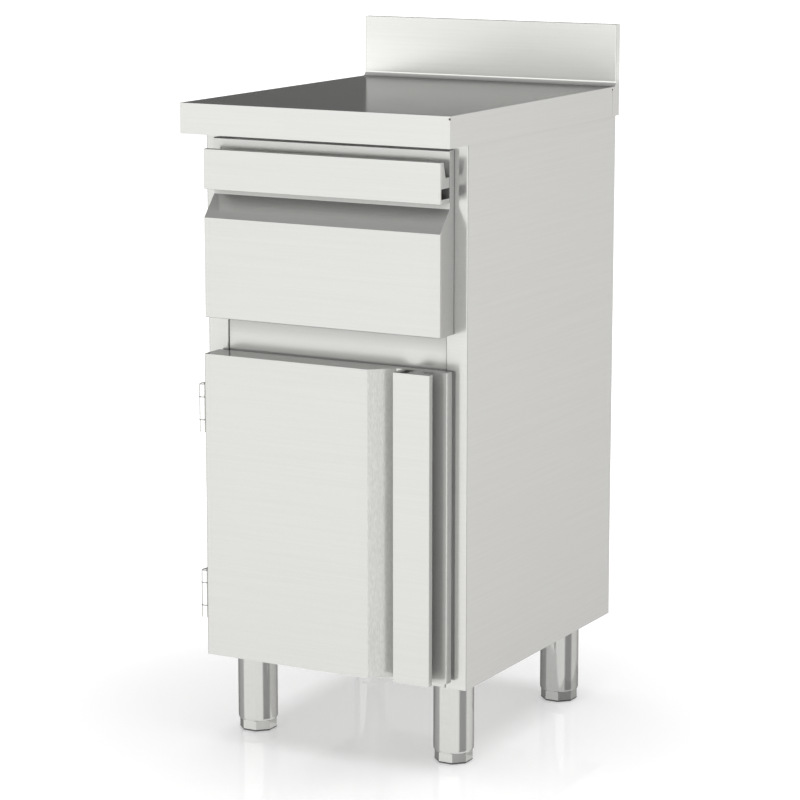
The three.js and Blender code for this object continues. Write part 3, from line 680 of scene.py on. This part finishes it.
def finish_edges(obj, width):
    """Welds the imported triangles into whole faces, rounds their sharp edges and smooths the folds."""
    weld = obj.modifiers.new("weld", "WELD")
    weld.merge_threshold = WELD_REACH
    flat = obj.modifiers.new("flat", "DECIMATE")
    flat.decimate_type = "DISSOLVE"
    flat.angle_limit = math.radians(FLAT_ANGLE)
    rounding = obj.modifiers.new("rounding", "BEVEL")
    rounding.width = width
    rounding.segments = EDGE_SEGMENTS
    rounding.limit_method = "ANGLE"
    rounding.angle_limit = math.radians(EDGE_ANGLE)
    rounding.miter_outer = "MITER_ARC"
    smooth_folds(obj)
    normals = obj.modifiers.new("normals", "WEIGHTED_NORMAL")
    normals.keep_sharp = True


for name, obj in nodes.items():
    look = LOOK_OF.get(name, SLOT_OF[name])
    obj.data.materials.clear()
    obj.data.materials.append(MATERIALS[look])
    finish_edges(obj, HANDLE_EDGE if look == "handle_steel" else EDGE_WIDTH)


def new_object(name, mesh, material):
    data = bpy.data.meshes.new(name)
    mesh.to_mesh(data)
    mesh.free()
    data.materials.append(material)
    obj = bpy.data.objects.new(name, data)
    scene.collection.objects.link(obj)
    return obj


def new_piece(name, mesh, body, slot):
    """A piece of the object, which rides on a body and takes its finish from a slot."""
    obj = new_object(name, mesh, MATERIALS[slot])
    for face in obj.data.polygons:
        face.use_smooth = True
    smooth_folds(obj)
    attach(obj, body)


def bridge(mesh, lower, upper):
    """A band of faces between two rings of as many points."""
    count = len(lower)
    for index in range(count):
        after = (index + 1) % count
        mesh.faces.new((lower[index], lower[after], upper[after], upper[index]))


def caps(mesh, first, last):
    """Faces that close the two ends of a row of rings."""
    mesh.faces.new(list(reversed(first)))
    mesh.faces.new(last)


def turned_rings(mesh, place, rings, steps, closed=False):
    """A skin over rings of points round an axis. Each ring is (radius, height), or (radius, height, sides)
    where it is flat-sided. The last ring joins the first if closed, or else both ends are capped."""
    made = []
    for radius, height, *flats in rings:
        points = []
        for step in range(steps):
            angle = 2 * math.pi * step / steps
            reach = radius
            for sides in flats:
                sector = 2 * math.pi / sides
                offset = (angle % sector) - sector / 2
                reach = radius * math.cos(sector / 2) / math.cos(offset)
            point = Vector((reach * math.cos(angle), reach * math.sin(angle), height))
            points.append(mesh.verts.new(place @ point))
        if made:
            bridge(mesh, made[-1], points)
        made.append(points)
    if closed:
        bridge(mesh, made[-1], made[0])
    else:
        caps(mesh, made[0], made[-1])


def facing(point, direction):
    """A frame at a point with its Z axis along a direction."""
    turn = Vector((0, 0, 1)).rotation_difference(Vector(direction)).to_matrix().to_4x4()
    return Matrix.Translation(Vector(point)) @ turn


def heads(places, direction, radius, profile, steps):
    """Turned heads of one profile at many places."""
    mesh = bmesh.new()
    rings = [(radius * across, radius * height, *flats) for across, height, *flats in profile]
    for point in places:
        turned_rings(mesh, facing(point, direction), rings, steps)
    return mesh


def rivets(name, places, direction, radius, body):
    """Domed blind rivets, each with the dimple of its pulled stem."""
    new_piece(name, heads(places, direction, radius, RIVET, RIVET_STEPS), body, "stainless")


def screws(name, places, direction, radius, body):
    """Button-headed screws with a six-sided socket."""
    new_piece(name, heads(places, direction, radius, SCREW, SCREW_STEPS), body, "zinc_plated")


def painted_foot_shadow(name, node, body):
    """A dark ring round the bottom of an eight-sided foot, a painted contact shadow there."""
    low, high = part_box(node)
    middle = (low + high) / 2
    flats = (high.x - low.x) / 2
    half_side = math.pi / FOOT_SIDES
    corner = flats / math.cos(half_side)
    place = Matrix.Translation((middle.x, middle.y, 0)) @ Matrix.Rotation(half_side, 4, "Z")
    mesh = bmesh.new()
    rings = [(corner + beyond, height, FOOT_SIDES) for beyond, height in FOOT_SHADOW_RINGS]
    turned_rings(mesh, place, rings, RING_STEPS)
    new_piece(name, mesh, body, "insert_plastic")


def hinge_washers(name, middle):
    """Dark rings where a hinge's end knuckles meet the middle one."""
    inner, outer = KNUCKLE_RADIUS + WASHER_CLEAR, KNUCKLE_RADIUS + WASHER_PROUD
    mesh = bmesh.new()
    for start in (KNUCKLE_SPLIT, -KNUCKLE_SPLIT - WASHER_HEIGHT):
        end = start + WASHER_HEIGHT
        rings = ((inner, start), (outer, start), (outer, end), (inner, end))
        turned_rings(mesh, Matrix.Translation(middle), rings, RING_STEPS, closed=True)
    new_piece(name, mesh, "cabinet", "insert_plastic")


def hinge_fittings(level):
    """The screws in a hinge's frame leaf, and the washers on its knuckles."""
    low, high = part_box("hinge_frame_leaf_" + level)
    middle = (low.z + high.z) / 2
    flange = high.y - LEAF_SHEET
    holes = [(low.x + SCREW_INSET, flange, middle + step * SCREW_PITCH) for step in (-1, 0, 1)]
    screws("hinge_screws_" + level, holes, (0, -1, 0), SCREW_RADIUS, "cabinet")
    axis = (high.x - KNUCKLE_RADIUS, low.y + KNUCKLE_RADIUS, middle)
    hinge_washers("hinge_washers_" + level, axis)


def inset(low, high, side, depth):
    """X at a depth inside the left (-1) or right (1) face of a box."""
    return high.x - depth if side > 0 else low.x + depth


def side_rivets(side, name):
    """The rivets on one side: down the rear of the side panel, and along the drawer's runner."""
    low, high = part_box(name + "_side_panel")
    edge = inset(low, high, side, REAR_RIVET_INSET)
    heights = [low.z + REAR_RIVET_START + REAR_RIVET_PITCH * step for step in range(REAR_RIVET_COUNT)]
    places = [(edge, high.y, height) for height in heights]
    rivets("rear_rivets_" + name, places, (0, 1, 0), REAR_RIVET_RADIUS, "cabinet")
    low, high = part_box("drawer_side_" + name)
    wall = inset(low, high, side, DRAWER_SHEET)
    bottom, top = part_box("runner_inner_" + name)
    level = (bottom.z + top.z) / 2
    places = [(wall, low.y + reach, level) for reach in RUNNER_RIVET_PLACES]
    rivets("runner_rivets_" + name, places, (-side, 0, 0), RUNNER_RIVET_RADIUS, "drawer")


def door_trim():
    """A folded strip along the door's top that covers the gap to the middle rail."""
    rail_low, rail_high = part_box("middle_rail")
    door_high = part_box("door_skin")[1]
    left, right = rail_low.x + TRIM_END, rail_high.x - TRIM_END
    start, reach, top = door_high.y + TRIM_BACK, rail_low.y - TRIM_CLEAR, door_high.z - TRIM_DROP
    section = (
        (start, top),
        (reach - TRIM_FOLD, top),
        (reach - TRIM_FOLD_MIDDLE, top - TRIM_FOLD_MIDDLE),
        (reach, top - TRIM_FOLD),
        (reach, top - TRIM_LIP),
        (reach - TRIM_FOLD, top - TRIM_LIP),
        (reach - TRIM_FOLD, top - TRIM_SHEET),
        (start, top - TRIM_SHEET),
    )
    mesh = bmesh.new()
    ends = [[mesh.verts.new((x, y, z)) for y, z in section] for x in (left, right)]
    bridge(mesh, *ends)
    caps(mesh, *ends)
    bmesh.ops.recalc_face_normals(mesh, faces=mesh.faces)
    new_piece("door_top_trim", mesh, "door", "stainless")


for corner in ("front_left", "front_right", "rear_left", "rear_right"):
    # Dark soles, a painted contact shadow under each foot
    painted_foot_shadow("foot_shadow_" + corner, "foot_" + corner, corner + "_foot")
for level in ("upper", "lower"):
    hinge_fittings(level)
for side, name in ((-1, "left"), (1, "right")):
    side_rivets(side, name)
door_trim()


def studio_world():
    """Soft light all round, and broad panels that the steel mirrors."""
    world = bpy.data.worlds.new("studio")
    scene.world = world
    world.use_nodes = True
    world.cycles.sampling_method = "NONE"
    tree = world.node_tree
    tree.nodes.clear()
    direction = parts_of(tree, "Generated")
    angle = math_node(tree, "ARCTAN2", direction["Y"], direction["X"])
    turn = add(tree, "ShaderNodeMapRange")
    tree.links.new(angle, turn.inputs["Value"])
    turn.inputs["From Min"].default_value = -math.pi
    turn.inputs["From Max"].default_value = math.pi

    def bands(levels):
        before = BAND_EDGES[-1][1]
        stops = []
        for degrees, name in BAND_EDGES:
            for shift, band in ((-BAND_SOFT / 2, before), (BAND_SOFT / 2, name)):
                place = (degrees + shift + 180) / 360
                stops.append((place, scaled(BAND_TINT[band], levels[band])))
            before = name
        return ramp(tree, turn.outputs["Result"], stops)

    height = direction["Z"]
    below = map_range(tree, height, NADIR_FADE, (1, 0))
    low = mix_colour(tree, below, bands(LOW_BANDS), scaled(STUDIO_TINT, NADIR))
    above = map_range(tree, height, ZENITH_FADE, (0, 1))
    high = mix_colour(tree, above, bands(HIGH_BANDS), scaled(STUDIO_TINT, ZENITH))
    mirrored = mix_colour(tree, map_range(tree, height, HORIZON_FADE, (0, 1)), low, high)
    rays = add(tree, "ShaderNodeLightPath")
    lit = mix_colour(tree, rays.outputs["Is Diffuse Ray"], mirrored, (DOME,) * 3)
    seen = mix_colour(tree, rays.outputs["Is Camera Ray"], lit, WHITE)
    background = add(tree, "ShaderNodeBackground")
    end = add(tree, "ShaderNodeOutputWorld")
    tree.links.new(seen, background.inputs["Color"])
    tree.links.new(background.outputs[0], end.inputs["Surface"])


def shade_card():
    """A veil under the body that dims what the legs mirror of the floor there. Only mirrored rays meet it."""
    material = bpy.data.materials.new("shade_card")
    material.use_nodes = True
    tree = material.node_tree
    tree.nodes.clear()
    cloud = noise(tree, (CARD_CLOUD,) * 3, detail=2)
    veil = add(tree, "ShaderNodeBsdfTransparent")
    levels = [(share * SHADE,) * 3 for share in (1 - SHADE_SPREAD, 1 + SHADE_SPREAD)]
    tree.links.new(two_tones(tree, cloud, NOISE_SPAN, levels), veil.inputs["Color"])
    end = add(tree, "ShaderNodeOutputMaterial")
    tree.links.new(veil.outputs[0], end.inputs["Surface"])
    left, right = cad_box[0][0], cad_box[1][0]
    wide = right + CARD_STEP
    corners = (
        (left, CARD_FRONT),
        (right, CARD_FRONT),
        (right, CARD_STEP),
        (wide, CARD_STEP),
        (wide, CARD_BACK),
        (left, CARD_BACK),
    )
    mesh = bmesh.new()
    mesh.faces.new([mesh.verts.new((x, y, 0)) for x, y in corners])
    card = new_object("shade_card", mesh, material)
    card.location.z = -CARD_DROP
    for rays in ("camera", "diffuse", "transmission", "shadow"):
        setattr(card, "visible_" + rays, False)


def studio_floor():
    """A pale, lightly polished floor with painted light: it glows, and glows less near the object, which
    paints a shade round it.
    """
    material, tree, shader = new_material("studio_floor")
    cloud = noise(tree, (FLOOR_CLOUD,) * 3, detail=3)
    tree.links.new(two_tones(tree, cloud, NOISE_SPAN, FLOOR_TONES), shader.inputs["Base Color"])
    tree.links.new(map_range(tree, cloud, NOISE_SPAN, FLOOR_ROUGHNESS), shader.inputs["Roughness"])
    shader.inputs["IOR"].default_value = FLOOR_IOR
    shader.inputs["Emission Color"].default_value = (*WHITE, 1)
    place = add(tree, "ShaderNodeTexCoord")
    reach = add(tree, "ShaderNodeVectorMath", operation="LENGTH")
    tree.links.new(place.outputs["Object"], reach.inputs[0])
    # Painted glow, dimmer near the object as a painted shade
    painted_glow = map_range(tree, reach.outputs["Value"], FLOOR_PAINTED_GLOW_REACH, FLOOR_PAINTED_GLOW)
    tree.links.new(painted_glow, shader.inputs["Emission Strength"])
    mesh = bmesh.new()
    bmesh.ops.create_grid(mesh, x_segments=FLOOR_PARTS, y_segments=FLOOR_PARTS, size=FLOOR_HALF)
    floor = new_object("studio_floor", mesh, material)
    floor.location.z = -FLOOR_DROP
    floor.visible_glossy = False
    return floor


def floor_light(floor):
    """A broad lamp overhead that lights only the floor."""
    lamp = bpy.data.lights.new("floor_light", "AREA")
    lamp.size = LAMP_SIZE
    lamp.energy = LAMP_POWER
    light = bpy.data.objects.new("floor_light", lamp)
    light.location = LAMP_PLACE
    light.visible_glossy = False
    scene.collection.objects.link(light)
    lit = bpy.data.collections.new("lit_floor")
    lit.objects.link(floor)
    light.light_linking.receiver_collection = lit


def photo_camera():
    camera = bpy.data.cameras.new("camera")
    camera.lens = CAMERA_LENS
    camera.sensor_width = CAMERA_SENSOR
    camera.sensor_fit = "HORIZONTAL"
    camera.clip_end = CAMERA_REACH
    viewer = bpy.data.objects.new("camera", camera)
    viewer.location = CAMERA_PLACE
    viewer.rotation_euler = (math.radians(90 - CAMERA_ELEVATION), 0, math.radians(CAMERA_AZIMUTH))
    scene.collection.objects.link(viewer)
    scene.camera = viewer


studio_world()
floor_light(studio_floor())
shade_card()
photo_camera()
scene.view_settings.view_transform = "Standard"
scene.view_settings.look = "None"
